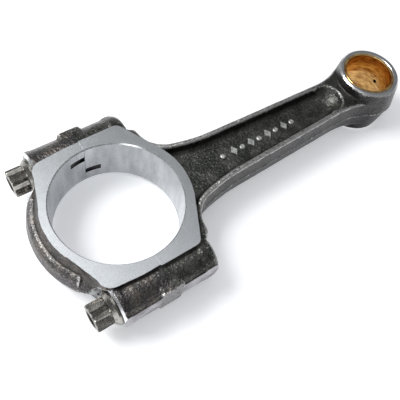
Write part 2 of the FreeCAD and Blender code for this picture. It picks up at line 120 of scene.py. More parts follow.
def bake_modifiers(obj: bpy.types.Object) -> None:
    """Replace an object's mesh with what its modifiers make of it.

    Args:
        obj: The object, whose modifiers are then removed.
    """
    graph = bpy.context.evaluated_depsgraph_get()
    mesh = bpy.data.meshes.new_from_object(obj.evaluated_get(graph))
    obj.modifiers.clear()
    old = obj.data
    obj.data = mesh
    mesh.name = obj.name
    bpy.data.meshes.remove(old)


def work(obj: bpy.types.Object, shape: bmesh.types.BMesh, operation: Operation) -> None:
    """Cut or add a tool shape, whose faces keep their own material slots.

    Args:
        obj: The work piece, which has every material that the shape's slots stand for.
        shape: The tool's shape, which is freed.
        operation: Whether it cuts or adds.
    """
    tool = object_from("tool", shape)
    for material in obj.data.materials:
        tool.data.materials.append(material)
    modifier = obj.modifiers.new("work", "BOOLEAN")
    modifier.operation = operation.value
    modifier.solver = "MANIFOLD"
    modifier.object = tool
    bake_modifiers(obj)
    bpy.data.objects.remove(tool)


def spun(profile: Sequence[Point], axis: Axis, centre: Vector, steps: int = 96,
         material: int = 0) -> bmesh.types.BMesh:
    """Turn a closed or axis-to-axis profile about an axis.

    Args:
        profile: Points of (along the axis, radius), in order.
        axis: The axis of turning.
        centre: A point on the axis.
        steps: Number of facets round.
        material: Material slot of every face.

    Returns:
        The turned solid.
    """
    bm = bmesh.new()
    side = Vector((0, 1, 0)) if axis is Axis.X else Vector((1, 0, 0))
    verts = [bm.verts.new(centre + axis.vector * along + side * radius)
             for along, radius in profile]
    pairs = list(zip(verts, verts[1:]))
    if profile[0][1] > 0:
        pairs.append((verts[-1], verts[0]))
    edges = [bm.edges.new(pair) for pair in pairs]
    bmesh.ops.spin(bm, geom=verts + edges, cent=centre, axis=axis.vector,
                   angle=math.tau, steps=steps, use_merge=True)
    bmesh.ops.remove_doubles(bm, verts=bm.verts, dist=1e-7)
    bmesh.ops.recalc_face_normals(bm, faces=bm.faces)
    for face in bm.faces:
        face.material_index = material
    return bm


def mirrored(half: list[Point]) -> list[Point]:
    """Follow half a profile with its image on the other side of the middle plane."""
    return half + [(-along, radius) for along, radius in reversed(half)]


def sleeve(half: float, inner: float, outer: float, centre_x: float, steps: int) -> bmesh.types.BMesh:
    """Turn a plain tube along Z.

    Args:
        half: Half its length.
        inner: Radius of its hole.
        outer: Its outer radius.
        centre_x: Place of its axis along X.
        steps: Number of facets round.

    Returns:
        The tube.
    """
    profile = [(-half, inner), (-half, outer), (half, outer), (half, inner)]
    return spun(profile, Axis.Z, Vector((centre_x, 0, 0)), steps)


def boring(half: float, radius: float, edge: float, centre_x: float, steps: int) -> bmesh.types.BMesh:
    """Shape a boring tool's path along Z, which breaks the edges at both faces.

    Args:
        half: Half the distance between the faces.
        radius: Radius of the bore.
        edge: Size of the broken edges.
        centre_x: Place of its axis along X.
        steps: Number of facets round.

    Returns:
        The tool.
    """
    past, wide = half + OVERRUN, radius + edge
    side = [(past, 0), (past, wide), (half, wide), (half - edge, radius)]
    return spun(mirrored(side), Axis.Z, Vector((centre_x, 0, 0)), steps, Surface.BRIGHT)


def block(low: Sequence[float], high: Sequence[float], material: int) -> bmesh.types.BMesh:
    """Make a box between two corners.

    Args:
        low: Lowest corner.
        high: Highest corner.
        material: Material slot of every face.

    Returns:
        The box.
    """
    bm = bmesh.new()
    size = Vector(high) - Vector(low)
    place = Matrix.Translation((Vector(high) + Vector(low)) / 2) @ Matrix.Diagonal((*size, 1))
    bmesh.ops.create_cube(bm, size=1, matrix=place)
    for face in bm.faces:
        face.material_index = material
    return bm


def coordinates(mesh: bpy.types.Mesh) -> np.ndarray:
    """Read where a mesh's vertices are.

    Args:
        mesh: The mesh.

    Returns:
        One row of x, y, z for each vertex.
    """
    rows = np.empty(len(mesh.vertices) * 3, np.float32)
    mesh.vertices.foreach_get("co", rows)
    return rows.reshape(-1, 3).astype(float)


def normals(mesh: bpy.types.Mesh) -> np.ndarray:
    """Read which way a mesh's surface faces at its vertices.

    Args:
        mesh: The mesh.

    Returns:
        One row of x, y, z for each vertex.
    """
    rows = np.empty(len(mesh.vertices) * 3, np.float32)
    mesh.vertex_normals.foreach_get("vector", rows)
    return rows.reshape(-1, 3).astype(float)


def place(mesh: bpy.types.Mesh, rows: np.ndarray) -> None:
    """Move a mesh's vertices.

    Args:
        mesh: The mesh.
        rows: One row of x, y, z for each vertex.
    """
    mesh.vertices.foreach_set("co", rows.astype(np.float32).ravel())
    mesh.update()


def ramp(value: np.ndarray, low: float, high: float) -> np.ndarray:
    """Rise smoothly from 0 at low to 1 at high.

    Args:
        value: Where to read the rise.
        low: Value at which it starts.
        high: Value at which it ends.

    Returns:
        Numbers from 0 to 1.
    """
    share = np.clip((value - low) / (high - low), 0, 1)
    return share * share * (3 - 2 * share)


def lumps(rows: np.ndarray, grain: float, octaves: int) -> np.ndarray:
    """Read a smooth noise at each row.

    Args:
        rows: Points, in metres.
        grain: Size of the largest lumps, in metres.
        octaves: Number of layers of detail.

    Returns:
        One number about -1 to 1 for each row.
    """
    return np.array([noise.fractal(Vector(row) / grain, 1.0, 2.0, octaves) for row in rows])


def shade_smooth(obj: bpy.types.Object, angle: float = 35.0) -> None:
    """Shade an object smooth, keeping edges sharper than an angle.

    Args:
        obj: The object.
        angle: The angle, in degrees.
    """
    bm = bmesh.new()
    bm.from_mesh(obj.data)
    limit = math.radians(angle)
    for face in bm.faces:
        face.smooth = True
    for edge in bm.edges:
        edge.smooth = not (len(edge.link_faces) == 2 and edge.calc_face_angle(0) > limit)
        if len(edge.link_faces) == 2:
            first, second = edge.link_faces
            if first.material_index != second.material_index:
                edge.smooth = False
    bm.to_mesh(obj.data)
    bm.free()


def prism(points: Sequence[Point], low: float, high: float, material: int) -> bmesh.types.BMesh:
    """Raise a flat outline into a straight-sided solid.

    Args:
        points: Corners of the outline, in order.
        low: Height of its foot.
        high: Height of its top.
        material: Material slot of every face.

    Returns:
        The solid.
    """
    bm = bmesh.new()
    foot = bm.faces.new([bm.verts.new((x, y, low)) for x, y in points])
    raised = bmesh.ops.extrude_face_region(bm, geom=[foot])["geom"]
    top = [item for item in raised if isinstance(item, bmesh.types.BMVert)]
    bmesh.ops.translate(bm, verts=top, vec=(0, 0, high - low))
    bmesh.ops.recalc_face_normals(bm, faces=bm.faces)
    for face in bm.faces:
        face.material_index = material
    return bm


def paint(bm: bmesh.types.BMesh, rule: Callable[[Vector], int]) -> bmesh.types.BMesh:
    """Give each face the slot that a rule reads from its middle.

    Args:
        bm: The shape.
        rule: What turns a face's middle into a slot.

    Returns:
        The same shape.
    """
    for face in bm.faces:
        face.material_index = rule(face.calc_center_median())
    return bm


# ---------------------------------------------------------------------------------------------
# Finishes
# ---------------------------------------------------------------------------------------------

Colour = tuple[float, float, float]


class NodeKit:
    """A new material's nodes, with short ways to add and join them."""

    def __init__(self, name: str) -> None:
        """Start a material that holds one shader.

        Args:
            name: Name of the material.
        """
        self.material = bpy.data.materials.new(name)
        self.material.use_nodes = True
        self.tree = self.material.node_tree
        self.shader = self.tree.nodes["Principled BSDF"]
        self.place = self.add("ShaderNodeTexCoord").outputs["Object"]

    def add(self, kind: str, **settings: object) -> bpy.types.Node:
        """Add a node and set its properties by name.

        Args:
            kind: The node's type.
            settings: Its properties.

        Returns:
            The node.
        """
        node = self.tree.nodes.new(kind)
        for key, value in settings.items():
            setattr(node, key, value)
        return node

    def feed(self, socket: bpy.types.NodeSocket, source: object) -> None:
        """Link a source to a socket, or set the socket to a plain value.

        Args:
            socket: The socket that takes it.
            source: Another node's output, a colour or a number.
        """
        if isinstance(source, bpy.types.NodeSocket):
            self.tree.links.new(source, socket)
        elif isinstance(source, tuple) and len(source) == 3 and socket.type == "RGBA":
            socket.default_value = (*source, 1.0)
        else:
            socket.default_value = source

    def math(self, operation: str, first: object, second: object = 0.0) -> bpy.types.NodeSocket:
        """Work out one sum of two numbers.

        Args:
            operation: The sum's name.
            first: First number.
            second: Second number, where the sum has one.

        Returns:
            The result.
        """
        node = self.add("ShaderNodeMath", operation=operation)
        self.feed(node.inputs[0], first)
        self.feed(node.inputs[1], second)
        return node.outputs[0]

    def parts(self) -> list[bpy.types.NodeSocket]:
        """Split the place on the object.

        Returns:
            Its x, y and z.
        """
        node = self.add("ShaderNodeSeparateXYZ")
        self.feed(node.inputs[0], self.place)
        return list(node.outputs)

    def stretched(self, scale: Sequence[float]) -> bpy.types.NodeSocket:
        """Squeeze the place on the object along its axes.

        Args:
            scale: How much along each axis.

        Returns:
            The squeezed place.
        """
        node = self.add("ShaderNodeMapping")
        self.feed(node.inputs["Vector"], self.place)
        node.inputs["Scale"].default_value = scale
        return node.outputs[0]

    def noise(self, grain: float, detail: float = 3.0, place: object = None) -> bpy.types.NodeSocket:
        """Read a cloudy pattern whose lumps are about a grain across.

        Args:
            grain: Size of a lump, in millimetres.
            detail: Layers of finer lumps.
            place: Where to read it, or None for the place on the object.

        Returns:
            A number from 0 to 1.
        """
        node = self.add("ShaderNodeTexNoise")
        self.feed(node.inputs["Vector"], place if place else self.place)
        node.inputs["Scale"].default_value = 1 / (grain * MM)
        node.inputs["Detail"].default_value = detail
        return node.outputs[0]

    def cells(self, grain: float, place: object = None) -> bpy.types.NodeSocket:
        """Read the distance to the nearest of scattered points.

        Args:
            grain: Distance between points, in millimetres.
            place: Where to read it, or None for the place on the object.

        Returns:
            A number from 0 up.
        """
        node = self.add("ShaderNodeTexVoronoi")
        self.feed(node.inputs["Vector"], place if place else self.place)
        node.inputs["Scale"].default_value = 1 / (grain * MM)
        return node.outputs["Distance"]

    def reach(self, value: object, low: float, high: float, first: float = 0.0,
              last: float = 1.0) -> bpy.types.NodeSocket:
        """Stretch a range of numbers to another, held at its ends.

        Args:
            value: The number.
            low: Start of its range.
            high: End of its range.
            first: Result at the start.
            last: Result at the end.

        Returns:
            The stretched number.
        """
        node = self.add("ShaderNodeMapRange", interpolation_type="SMOOTHSTEP")
        for socket, source in zip(node.inputs, (value, low, high, first, last)):
            self.feed(socket, source)
        return node.outputs[0]

    def mix(self, share: object, first: object, second: object,
            blend: str = "MIX") -> bpy.types.NodeSocket:
        """Mix two colours.

        Args:
            share: How much of the second.
            first: First colour.
            second: Second colour.
            blend: Way of mixing.

        Returns:
            The mixed colour.
        """
        node = self.add("ShaderNodeMix", data_type="RGBA", blend_type=blend)
        self.feed(node.inputs[0], share)
        self.feed(node.inputs[6], first)
        self.feed(node.inputs[7], second)
        return node.outputs[2]

    def bump(self, height: object, depth: float, under: object = None) -> bpy.types.NodeSocket:
        """Tilt the surface by a height pattern.

        Args:
            height: The pattern, from 0 to 1.
            depth: How deep it goes, in millimetres.
            under: A normal that it adds to, or None.

        Returns:
            The tilted normal.
        """
        node = self.add("ShaderNodeBump")
        node.inputs["Distance"].default_value = depth * MM
        self.feed(node.inputs["Height"], height)
        if under:
            self.feed(node.inputs["Normal"], under)
        return node.outputs[0]

    def finish(self, colour: object, roughness: object, normal: object,
               metallic: object = 1.0) -> bpy.types.Material:
        """Join the results to the shader.

        Args:
            colour: Base colour.
            roughness: Roughness.
            normal: Normal.
            metallic: How much of a metal it is.

        Returns:
            The material.
        """
        self.feed(self.shader.inputs["Base Color"], colour)
        self.feed(self.shader.inputs["Roughness"], roughness)
        self.feed(self.shader.inputs["Normal"], normal)
        self.feed(self.shader.inputs["Metallic"], metallic)
        return self.material


@dataclass(frozen=True)
class ForgedSkin:
    """Shot-blasted and oiled skin of a forging, scuffed bare along its edges with a painted highlight
    there, and with painted shade in its hollows, on its walls and towards its bottom.
    """

    name: str
    dark: Colour
    warm: Colour
    bare: Colour = (0.30, 0.30, 0.29)
    grain: float = 0.5
    # painted shade low down and on the walls, each partly a purple tint
    low_shade_and_tint: Colour = (0.24, 0.21, 0.25)
    wall_shade_and_tint: Colour = (0.46, 0.42, 0.47)
    # colour of edges scuffed bare, partly a painted highlight
    rubbed_and_highlight: Colour = (0.62, 0.61, 0.60)
    # near-black painted shade for the hollows
    painted_hollow_shade: Colour = (0.012, 0.012, 0.011)

    def build(self) -> bpy.types.Material:
        """Make the material.

        Returns:
            The material.
        """
        kit = NodeKit(self.name)
        height = kit.parts()[2]
        patch = kit.reach(kit.noise(7.0, 4.0), 0.4, 0.62)
        colour = kit.mix(patch, self.dark, self.warm)
        grit = kit.noise(self.grain, 2.5)
        colour = kit.mix(kit.reach(grit, 0.48, 0.74, 0.0, 0.7), colour, self.bare)
        pits = kit.reach(kit.cells(1.2), 0.05, 0.50, 0.35, 1.0)
        colour = kit.mix(0.8, colour, kit.mix(pits, (0.2, 0.2, 0.2), (1.0, 1.0, 1.0)), "MULTIPLY")
        # painted shade: darker towards the bottom, partly a purple tint
        under = kit.reach(kit.math("ADD", height, kit.math("MULTIPLY", patch, 0.6 * MM)),
                          -0.9 * MM, 0.3 * MM, 1.0, 0.0)
        colour = kit.mix(kit.math("MULTIPLY", under, 0.95), colour, self.low_shade_and_tint, "MULTIPLY")
        # painted shade: walls that face sideways turn darker, partly a purple tint
        facing = kit.add("ShaderNodeSeparateXYZ")
        kit.feed(facing.inputs[0], kit.add("ShaderNodeTexCoord").outputs["Normal"])
        upright = kit.reach(kit.math("ABSOLUTE", facing.outputs[2]), 0.15, 0.6, 0.9, 0.0)
        colour = kit.mix(upright, colour, self.wall_shade_and_tint, "MULTIPLY")
        # lighter along convex edges: partly scuffed bare, partly painted highlight
        edge = kit.add("ShaderNodeAttribute", attribute_name="edge").outputs["Fac"]
        ragged = kit.math("ADD", edge, kit.math("MULTIPLY", kit.noise(0.8, 3.0), 0.12))
        worn_and_highlight = kit.reach(ragged, 0.088, 0.125, 0.0, 0.85)
        colour = kit.mix(worn_and_highlight, colour, self.rubbed_and_highlight)
        # painted shade: hollows and fillets turn near-black
        hollow = kit.reach(edge, -0.075, -0.012, 1.0, 0.0)
        colour = kit.mix(kit.math("MULTIPLY", hollow, 0.8), colour, self.painted_hollow_shade)
        rough = kit.reach(grit, 0.3, 0.7, 0.42, 0.27)
        kit.shader.inputs["Coat Weight"].default_value = 0.18
        kit.shader.inputs["Coat Roughness"].default_value = 0.26
        relief = kit.bump(kit.noise(0.45, 3.0), 0.18, kit.bump(kit.cells(1.3), 0.20))
        return kit.finish(colour, rough, relief, 0.92)


@dataclass(frozen=True)
class Machined:
    """Cut or ground steel with fine marks of the tool."""

    name: str
    dull: Colour
    bright: Colour
    rough: tuple[float, float]
    stretch: tuple[float, float, float] = (1.0, 1.0, 1.0)
    marks: float = 0.35
    depth: float = 0.012
    patch: float = 9.0
    cloudy: float = 0.5
    metallic: float = 1.0

    def build(self) -> bpy.types.Material:
        """Make the material.

        Returns:
            The material.
        """
        kit = NodeKit(self.name)
        cloud = kit.reach(kit.noise(self.patch, 3.0), 0.35, 0.65)
        marks = kit.noise(self.marks, 4.0, kit.stretched(self.stretch))
        share = kit.math("ADD", kit.math("MULTIPLY", cloud, self.cloudy),
                         kit.math("MULTIPLY", marks, 1 - self.cloudy))
        colour = kit.mix(kit.reach(share, 0.25, 0.75), self.dull, self.bright)
        rough = kit.reach(marks, 0.3, 0.7, self.rough[0], self.rough[1])
        return kit.finish(colour, rough, kit.bump(marks, self.depth), self.metallic)


@dataclass(frozen=True)
class Honed:
    """Crosshatched wall of a bore whose axis runs along Z."""

    name: str
    centre_x: float
    dull: Colour
    bright: Colour
    rough: tuple[float, float] = (0.22, 0.34)
    slope: float = 9.0
    depth: float = 0.010
    streak: float = 9.0
    length_share: float = 0.08
    line: float = 0.22

    def build(self) -> bpy.types.Material:
        """Make the material.

        Returns:
            The material.
        """
        kit = NodeKit(self.name)
        across, along, height = kit.parts()
        angle = kit.math("ARCTAN2", along, kit.math("SUBTRACT", across, self.centre_x))
        lines = []
        for way in (1, -1):
            lean = kit.math("ADD", kit.math("MULTIPLY", angle, way * self.slope * MM), height)
            spot = kit.add("ShaderNodeCombineXYZ")
            kit.feed(spot.inputs[0], kit.math("MULTIPLY", angle, 2.0 * MM))
            kit.feed(spot.inputs[2], lean)
            lines.append(kit.noise(self.line, 2.0, spot.outputs[0]))
        hatch = kit.math("MINIMUM", *lines)
        wall = kit.add("ShaderNodeCombineXYZ")
        kit.feed(wall.inputs[0], kit.math("MULTIPLY", angle, self.streak * MM))
        kit.feed(wall.inputs[2], kit.math("MULTIPLY", height, self.length_share))
        streaks = kit.noise(1.6, 3.0, wall.outputs[0])
        share = kit.math("MULTIPLY", kit.math("ADD", streaks, hatch), 0.5)
        colour = kit.mix(kit.reach(share, 0.33, 0.6), self.dull, self.bright)
        rough = kit.reach(hatch, 0.25, 0.6, self.rough[0], self.rough[1])
        return kit.finish(colour, rough, kit.bump(hatch, self.depth))


@dataclass(frozen=True)
class Stamped:
    """Steel battered with small overlapping dents."""

    name: str
    dark: Colour
    light: Colour

    def build(self) -> bpy.types.Material:
        """Make the material.

        Returns:
            The material.
        """
        kit = NodeKit(self.name)
        dents = kit.cells(1.5)
        colour = kit.mix(kit.reach(dents, 0.1, 0.6), self.dark, self.light)
        grit = kit.noise(0.5, 3.0)
        colour = kit.mix(kit.reach(grit, 0.35, 0.7, 0.0, 0.5), colour, (0.55, 0.54, 0.55))
        relief = kit.bump(dents, 0.35, kit.bump(grit, 0.10))
        return kit.finish(colour, kit.reach(grit, 0.3, 0.7, 0.55, 0.36), relief, 0.95)


class Finishes:
    """Every finish of the rod, each made once."""

    def __init__(self) -> None:
        """Make the materials."""
        face = Machined("thrust_face_steel", dull=(0.46, 0.48, 0.495), bright=(0.61, 0.63, 0.645),
                        rough=(0.30, 0.44), marks=0.5, cloudy=0.06)
        bore = Honed("honed_big_bore", centre_x=0.0, dull=(0.31, 0.32, 0.335),
                     bright=(0.50, 0.51, 0.525))
        trim = Machined("sheared_flash", dull=(0.26, 0.25, 0.27), bright=(0.60, 0.585, 0.61),
                        rough=(0.36, 0.54), stretch=(0.25, 1.0, 1.0), marks=0.6, depth=0.05,
                        cloudy=0.25)
        # chamfers: partly polished, partly a painted highlight
        edge = Machined("broken_edge_polish_and_highlight", dull=(0.75, 0.76, 0.78), bright=(0.9, 0.9, 0.91),
                        rough=(0.2, 0.3), cloudy=0.1)
        pad = Stamped("stamped_pad", dark=(0.06, 0.058, 0.06), light=(0.26, 0.25, 0.26))
        self.common = [finish.build() for finish in (face, bore, trim, edge, pad)]
        # near-black painted shade for notches, oil holes, the joint's groove and the screws' sunk
        # heads
        self.recess_shade = Machined("near_black_painted_shade", dull=(0.012, 0.012, 0.013), bright=(0.05, 0.05, 0.05),
                              rough=(0.5, 0.7)).build()
        self.rod_skin = ForgedSkin("forged_beam_skin", dark=(0.040, 0.043, 0.036),
                                   warm=(0.105, 0.103, 0.092)).build()
        # the cap's skin takes milder painted shade low down and on its walls, each partly a purple
        # tint
        self.cap_skin = ForgedSkin("forged_strap_skin", dark=(0.060, 0.055, 0.056),
                                   warm=(0.135, 0.118, 0.104), low_shade_and_tint=(0.5, 0.45, 0.5),
                                   wall_shade_and_tint=(0.72, 0.66, 0.70)).build()
        self.bronze = Honed("bush_bronze_bored", centre_x=EYE_X, dull=(0.34, 0.13, 0.03),
                            bright=(1.0, 0.72, 0.31), rough=(0.10, 0.26), slope=0.3, depth=0.05,
                            streak=0.9, length_share=2.2, line=0.6).build()
        self.screw = Machined("screw_nickel_steel", dull=(0.17, 0.16, 0.145),
                              bright=(0.46, 0.445, 0.41), rough=(0.16, 0.30), depth=0.015,
                              patch=3.0, cloudy=0.25).build()
        self.dowel = Machined("dowel_ground_steel", dull=(0.45, 0.45, 0.46),
                              bright=(0.7, 0.7, 0.71), rough=(0.2, 0.3)).build()
        self.mark = Machined("raised_mark_metal", dull=(0.50, 0.50, 0.49), bright=(0.80, 0.80, 0.79),
                             rough=(0.4, 0.55), marks=0.5, depth=0.06, patch=2.0).build()

    def forging(self, skin: bpy.types.Material) -> list[bpy.types.Material]:
        """List a forging's finishes in the order of its surfaces."""
        return [skin, *self.common, self.recess_shade, self.mark]


# ---------------------------------------------------------------------------------------------
# Forgings
# ---------------------------------------------------------------------------------------------

@dataclass(frozen=True)
class Allowance:
    """Extra stock on one machined plane, so that the forging runs past it."""

    axis: int
    sign: int
    limit: float
    low_x: float
    high_x: float
    extra: float = 1.2 * MM

    def add(self, rows: np.ndarray) -> None:
        """Push the vertices that lie on the plane outwards.

        Args:
            rows: The forging's vertices, one row of x, y, z each.
        """
        slack = 0.03 * MM
        on_plane = ((rows[:, self.axis] * self.sign > self.limit - slack)
                    & (rows[:, 0] > self.low_x) & (rows[:, 0] < self.high_x))
        rows[on_plane, self.axis] += self.sign * self.extra


@dataclass
class Forging:
    """A forging: plain stock, a blasted skin with its flash line, and machining."""

    node: str
    name: str
    body: str
    record_slot: str
    way: int
    voxel: float = 0.5 * MM
    rounding: int = 7
    grit: float = 0.055 * MM
    wave: float = 0.10 * MM
    flash: float = 0.45 * MM
    flash_width: float = 0.45 * MM
    flash_fade: Point = (-28 * MM, -24 * MM)
    end_margin: float = 0.4 * MM
    joint_break: float = 0.06 * MM
    reach: float = 60 * MM
    bolt_bore: float = 5.6 * MM
    dowel_bore: float = 6.75 * MM
    dowel_depth: float = 5.0 * MM
    notch_height: float = -4.7 * MM
    notch_length: float = 7.7 * MM
    notch_depth: float = 1.2 * MM
    notch_width: float = 3.4 * MM
    notch_overlap: float = 0.5 * MM
    notch_shallow: float = 0.6
    break_edge: float = 0.5 * MM
    pad_half: float = 5.3 * MM
    sleeve_half: float = 14 * MM
    sleeve_inner: float = 27.5 * MM
    sleeve_outer: float = 31.4 * MM
    plug_start: float = -1.2 * MM
    plug_end: float = 24.3 * MM
    plug_radius: float = 7.2 * MM
    hole_start: float = -2 * MM
    hole_end: float = 27 * MM
    weld: float = 0.002 * MM
    grit_grain: float = 1.3 * MM
    wave_grain: float = 9 * MM
    flash_grain: float = 3 * MM
    convexity_spread: int = 8
    joint_clear: Point = (0.6 * MM, 1.6 * MM)
    allowances: list[Allowance] = field(default_factory=list)

    def plugs(self) -> list[bmesh.types.BMesh]:
        """Fill the bores and holes, so that they can be cut cleanly later.

        Returns:
            The fillings.
        """
        stock = [sleeve(self.sleeve_half, self.sleeve_inner, self.sleeve_outer, 0.0, 128)]
        near, far = self.plug_start * self.way, self.plug_end * self.way
        rod = [(near, 0), (near, self.plug_radius), (far, self.plug_radius), (far, 0)]
        for side in (1, -1):
            stock.append(spun(rod, Axis.X, Vector((0, side * BOLT_Y, 0)), 48))
        return stock

    def grow(self) -> bpy.types.Object:
        """Take the plain shape, add stock and give it a forging's rounded form.

        Returns:
            The forging before it is machined.
        """
        bm = bmesh.new()
        bm.from_mesh(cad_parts[self.node].data)
        bmesh.ops.remove_doubles(bm, verts=bm.verts, dist=self.weld)
        obj = object_from(self.name, bm)
        rows = coordinates(obj.data)
        for allowance in self.allowances:
            allowance.add(rows)
        place(obj.data, rows)
        parts = [obj] + [object_from("plug", bm) for bm in self.plugs()]
        whole = bmesh.new()
        for part in parts:
            whole.from_mesh(part.data)
        whole.to_mesh(obj.data)
        whole.free()
        for part in parts[1:]:
            bpy.data.objects.remove(part)
        remesh = obj.modifiers.new("remesh", "REMESH")
        remesh.mode = "VOXEL"
        remesh.voxel_size = self.voxel
        smooth = obj.modifiers.new("smooth", "SMOOTH")
        smooth.factor = 0.5
        smooth.iterations = self.rounding
        bake_modifiers(obj)
        return obj

    def roughen(self, obj: bpy.types.Object) -> None:
        """Give the skin its grit, its long waves and the line left by the trimmed flash.

        Args:
            obj: The forging.
        """
        rows = coordinates(obj.data)
        out = normals(obj.data)
        lift = (self.grit * lumps(rows, self.grit_grain, 2)
                + self.wave * lumps(rows, self.wave_grain, 2))
        upright = 1 - ramp(np.abs(out[:, 2]), 0.25, 0.6)
        line = np.exp(-(rows[:, 2] / self.flash_width) ** 2)
        ragged = 0.75 + 0.5 * lumps(rows, self.flash_grain, 2)
        lift += self.flash * line * upright * ragged * ramp(rows[:, 0], *self.flash_fade)
        low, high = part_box(self.node)
        to_end = high.x - rows[:, 0] if self.way > 0 else rows[:, 0] - low.x
        lift = np.where(to_end < self.end_margin, np.minimum(lift, 0), lift)
        place(obj.data, rows + out * lift[:, None])

    def bore_tool(self) -> bmesh.types.BMesh:
        """Shape the boring bar's path through the big end, with its broken edges.

        Returns:
            The tool.
        """
        wall = BIG_HALF - self.break_edge
        tool = boring(BIG_HALF, BIG_BORE, self.break_edge, 0.0, 160)
        return paint(tool, lambda middle: Surface.BORE if abs(middle.z) < wall else Surface.BRIGHT)

    def notch_tool(self) -> bmesh.types.BMesh:
        """Shape the slot for a bearing shell's tang, deepest at the joint.

        Returns:
            The tool.
        """
        inside = BIG_BORE - 2 * self.notch_depth
        start, end = -self.notch_overlap * self.way, self.way * self.notch_length
        points = [(start, inside), (start, BIG_BORE + self.notch_depth),
                  (end, BIG_BORE - self.notch_shallow * self.notch_depth), (end, inside)]
        half = self.notch_width / 2
        # the slot's faces take the near-black painted shade
        return prism(points, self.notch_height - half, self.notch_height + half, Surface.RECESS_SHADE)

    def joint_tools(self) -> list[bmesh.types.BMesh]:
        """Shape the cutters that break the joint's edges on the faces and in the bore.

        Returns:
            The tools.
        """
        half, far = self.joint_break, self.reach
        cuts = []
        for side in (1, -1):
            bar = block((-half, -far, -half), (half, far, half), Surface.FACE)
            bmesh.ops.rotate(bar, verts=bar.verts, matrix=Matrix.Rotation(math.pi / 4, 3, "Y"))
            bmesh.ops.translate(bar, verts=bar.verts, vec=(0, 0, side * BIG_HALF))
            wall = side * BIG_BORE
            points = [(-half, wall), (0, wall - half), (half, wall), (0, wall + half)]
            # the groove along the joint in the bore takes the near-black painted shade
            cuts += [bar, prism(points, -far / 2, far / 2, Surface.RECESS_SHADE)]
        return cuts

    def hole_profile(self) -> list[Point]:
        """Outline the screw hole and the dowel's seat.

        Returns:
            Points of (along X, radius).
        """
        start, step, end = (self.way * x for x in (self.hole_start, self.dowel_depth, self.hole_end))
        return [(start, 0), (start, self.dowel_bore), (step, self.dowel_bore),
                (step, self.bolt_bore), (end, self.bolt_bore), (end, 0)]

    def tools(self) -> list[bmesh.types.BMesh]:
        """List the cuts that both forgings share.

        Returns:
            The tools, in the order of cutting.
        """
        far = self.reach
        inner, outer = sorted((0.0, -far * self.way))
        cuts = [block((inner, -far, -far / 2), (outer, far, far / 2), Surface.FACE)]
        for side in (1, -1):
            low, high = sorted((side * BIG_HALF, side * far / 2))
            cuts.append(block((-far, -far, low), (far, far, high), Surface.FACE))
            low, high = sorted((side * TRIM_Y, side * far))
            ends = sorted((self.way * self.pad_half, self.way * far))
            cuts.append(block((ends[0], low, -far / 2), (ends[1], high, far / 2), Surface.TRIM))
            ends = sorted((-self.way * self.pad_half, self.way * self.pad_half))
            cuts.append(block((ends[0], low, -far / 2), (ends[1], high, far / 2), Surface.PEEN))
            cuts.append(spun(self.hole_profile(), Axis.X, Vector((0, side * BOLT_Y, 0)), 64,
                             Surface.FACE))
        return cuts + [self.bore_tool(), self.notch_tool(), *self.joint_tools()]

    def raised(self) -> list[bmesh.types.BMesh]:
        """List the raised marks: none on a plain forging."""
        return []

    def mark_edges(self, obj: bpy.types.Object) -> None:
        """Store how convex the skin is at each vertex, for its wear, its painted edge highlights and
        the painted shade in its hollows.

        Args:
            obj: The forging, which gets the attribute "edge".
        """
        mesh = obj.data
        rows, out = coordinates(mesh), normals(mesh)
        pairs = np.empty(len(mesh.edges) * 2, np.int32)
        mesh.edges.foreach_get("vertices", pairs)
        first, second = pairs.reshape(-1, 2).T
        along = rows[second] - rows[first]
        along /= np.linalg.norm(along, axis=1)[:, None] + 1e-12
        count = np.bincount(pairs, minlength=len(rows)) + 1e-9
        bend = (np.bincount(first, -(out[first] * along).sum(1), len(rows))
                + np.bincount(second, (out[second] * along).sum(1), len(rows))) / count
        for _ in range(self.convexity_spread):
            spread = (np.bincount(first, bend[second], len(rows))
                      + np.bincount(second, bend[first], len(rows))) / count
            bend = (bend + spread) / 2
        bend *= ramp(np.abs(rows[:, 0]), *self.joint_clear)
        layer = mesh.attributes.new("edge", "FLOAT", "POINT")
        layer.data.foreach_set("value", bend.astype(np.float32))

    def build(self, materials: list[bpy.types.Material]) -> bpy.types.Object:
        """Make the forging and put it on its body.

        Args:
            materials: Finishes in the order of the surfaces.

        Returns:
            The finished piece.
        """
        obj = self.grow()
        self.roughen(obj)
        obj.data.materials.clear()
        for material in materials:
            obj.data.materials.append(material)
        for shape in self.raised():
            work(obj, shape, Operation.ADD)
        for shape in self.tools():
            work(obj, shape, Operation.CUT)
        shade_smooth(obj, 40.0)
        self.mark_edges(obj)
        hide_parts(self.node)
        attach(obj, self.body)
        LOG.info("%s: %d faces", self.name, len(obj.data.polygons))
        return obj


